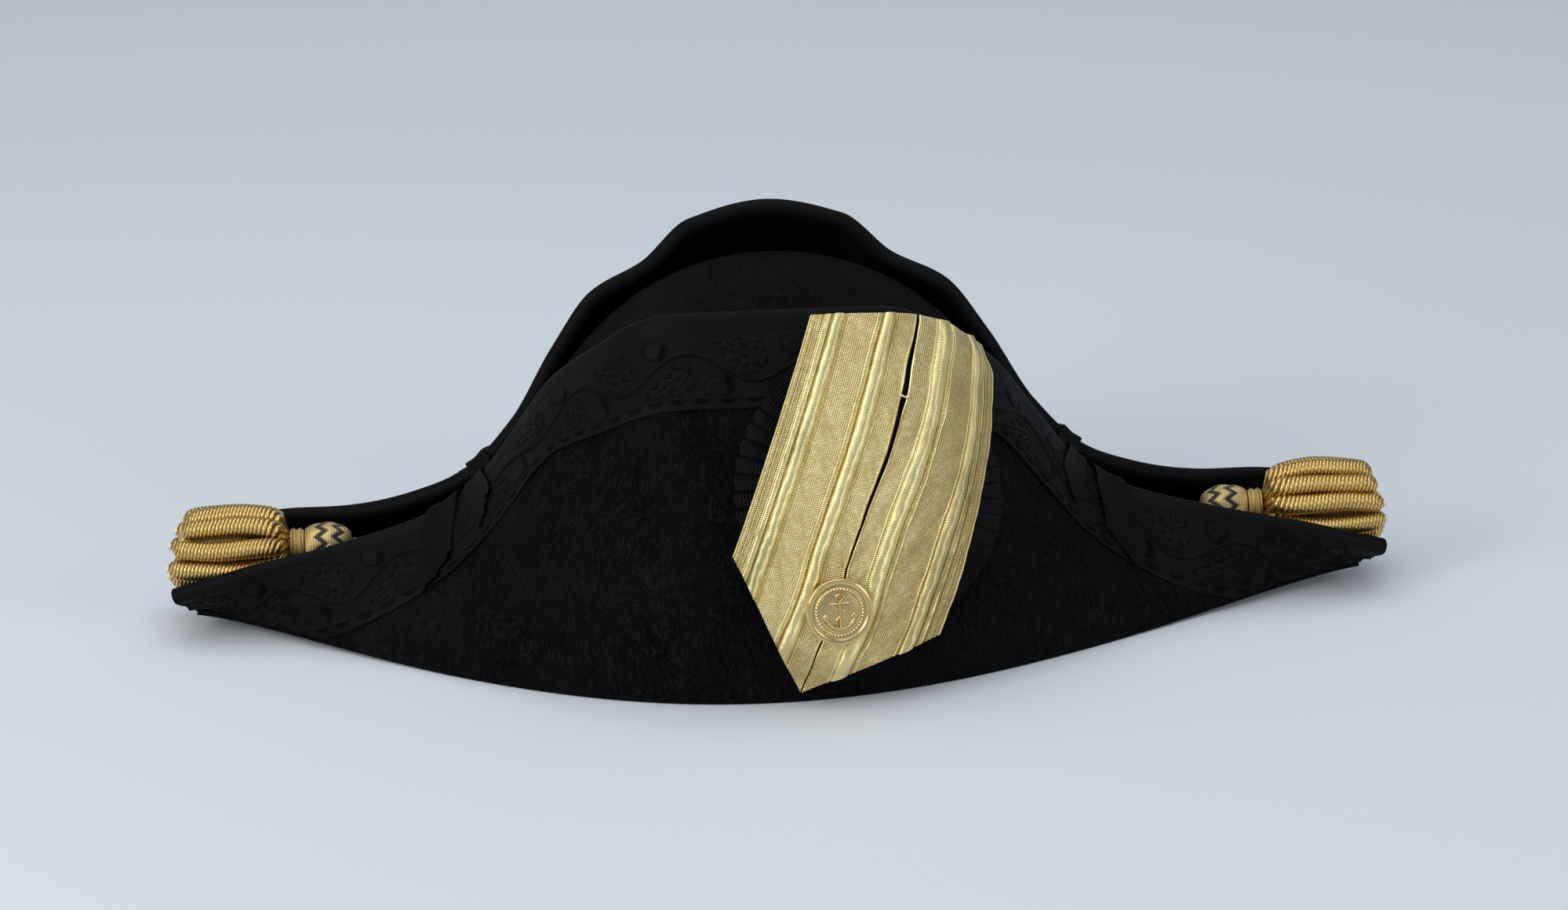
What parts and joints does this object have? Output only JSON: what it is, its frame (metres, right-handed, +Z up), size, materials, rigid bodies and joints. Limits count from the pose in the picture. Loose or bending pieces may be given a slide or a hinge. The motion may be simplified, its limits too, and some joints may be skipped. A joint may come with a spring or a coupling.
{
  "type": "cocked hat",
  "caption": "Fore-and-aft cocked dress hat: low crown between two tall plush fans, patterned silk lace, pleated cockade, gold loop and button, bullion tassels in the peaks.",
  "frame": {"origin": "middle of the hat's box, on the underside of the brim", "axes": "+X towards the front peak, along the longest extent; -Y towards the right fan with the cockade; +Z up"},
  "size_m": [0.432, 0.1944, 0.1422],
  "materials": {
    "plush": "black silk plush with a brushed nap over stiffened buckram",
    "wire": "drawn wire, covered by the lace",
    "silk_lace": "black figured silk lace, ribbed, with leaves and acorns",
    "ribbon": "black ribbed silk ribbon",
    "buckram": "black stiffened cloth",
    "gold_lace": "woven gilt metal thread, slightly tarnished",
    "gilt_brass": "struck and gilt, polished rim",
    "satin": "smooth off-white satin",
    "sweatband_leather": "smooth tan leather",
    "bullion": "coiled gilt wire bullion and woven gold thread",
    "tassel_core": "wound cotton thread"
  },
  "bodies": {
    "hat": {"under_brim": "plush", "crown_shell": "plush", "right_fan": "plush", "left_fan": "plush", "right_fan_wire": "wire", "left_fan_wire": "wire", "right_fan_lace": "silk_lace", "left_fan_lace": "silk_lace", "front_tie_band": "ribbon", "front_tie_tail": "ribbon", "rear_tie_band": "ribbon", "rear_tie_tail": "ribbon", "cockade_backing": "buckram", "cockade": "ribbon", "loop_backing": "buckram", "loop_rear_leg": "gold_lace", "loop_front_leg": "gold_lace", "lining_side": "satin", "lining_tip": "satin", "sweatband": "sweatband_leather", "sweatband_reed": "sweatband_leather"},
    "button": {"button_shell": "gilt_brass", "button_back": "gilt_brass", "button_shank": "gilt_brass", "button_ring": "gilt_brass"},
    "front_tassel": {"front_tassel_cord": "bullion", "front_tassel_head": "bullion", "front_tassel_collar": "bullion", "front_tassel_core": "tassel_core", "front_bullion_1": "bullion", "front_bullion_2": "bullion", "front_bullion_3": "bullion", "front_bullion_4": "bullion", "front_bullion_5": "bullion", "front_bullion_6": "bullion", "front_bullion_7": "bullion", "front_bullion_8": "bullion", "front_bullion_9": "bullion", "front_bullion_10": "bullion"},
    "rear_tassel": {"rear_tassel_cord": "bullion", "rear_tassel_head": "bullion", "rear_tassel_collar": "bullion", "rear_tassel_core": "tassel_core", "rear_bullion_1": "bullion", "rear_bullion_2": "bullion", "rear_bullion_3": "bullion", "rear_bullion_4": "bullion", "rear_bullion_5": "bullion", "rear_bullion_6": "bullion", "rear_bullion_7": "bullion", "rear_bullion_8": "bullion", "rear_bullion_9": "bullion", "rear_bullion_10": "bullion"}
  },
  "joints": [
    {"name": "front_tassel_lift", "type": "hinge", "parent": "hat", "child": "front_tassel", "pos_m": [0.09859, 0.00532, 0.014], "axis": [0, -1, 0], "range_deg": [0, 35]},
    {"name": "rear_tassel_lift", "type": "hinge", "parent": "hat", "child": "rear_tassel", "pos_m": [-0.09859, 0.00532, 0.014], "axis": [0, 1, 0], "range_deg": [0, 35]},
    {"name": "button_turn", "type": "hinge", "parent": "hat", "child": "button", "pos_m": [0.01589, -0.082, 0.03365], "axis": [0.1334, -0.9742, 0.1819], "continuous": true}
  ]
}
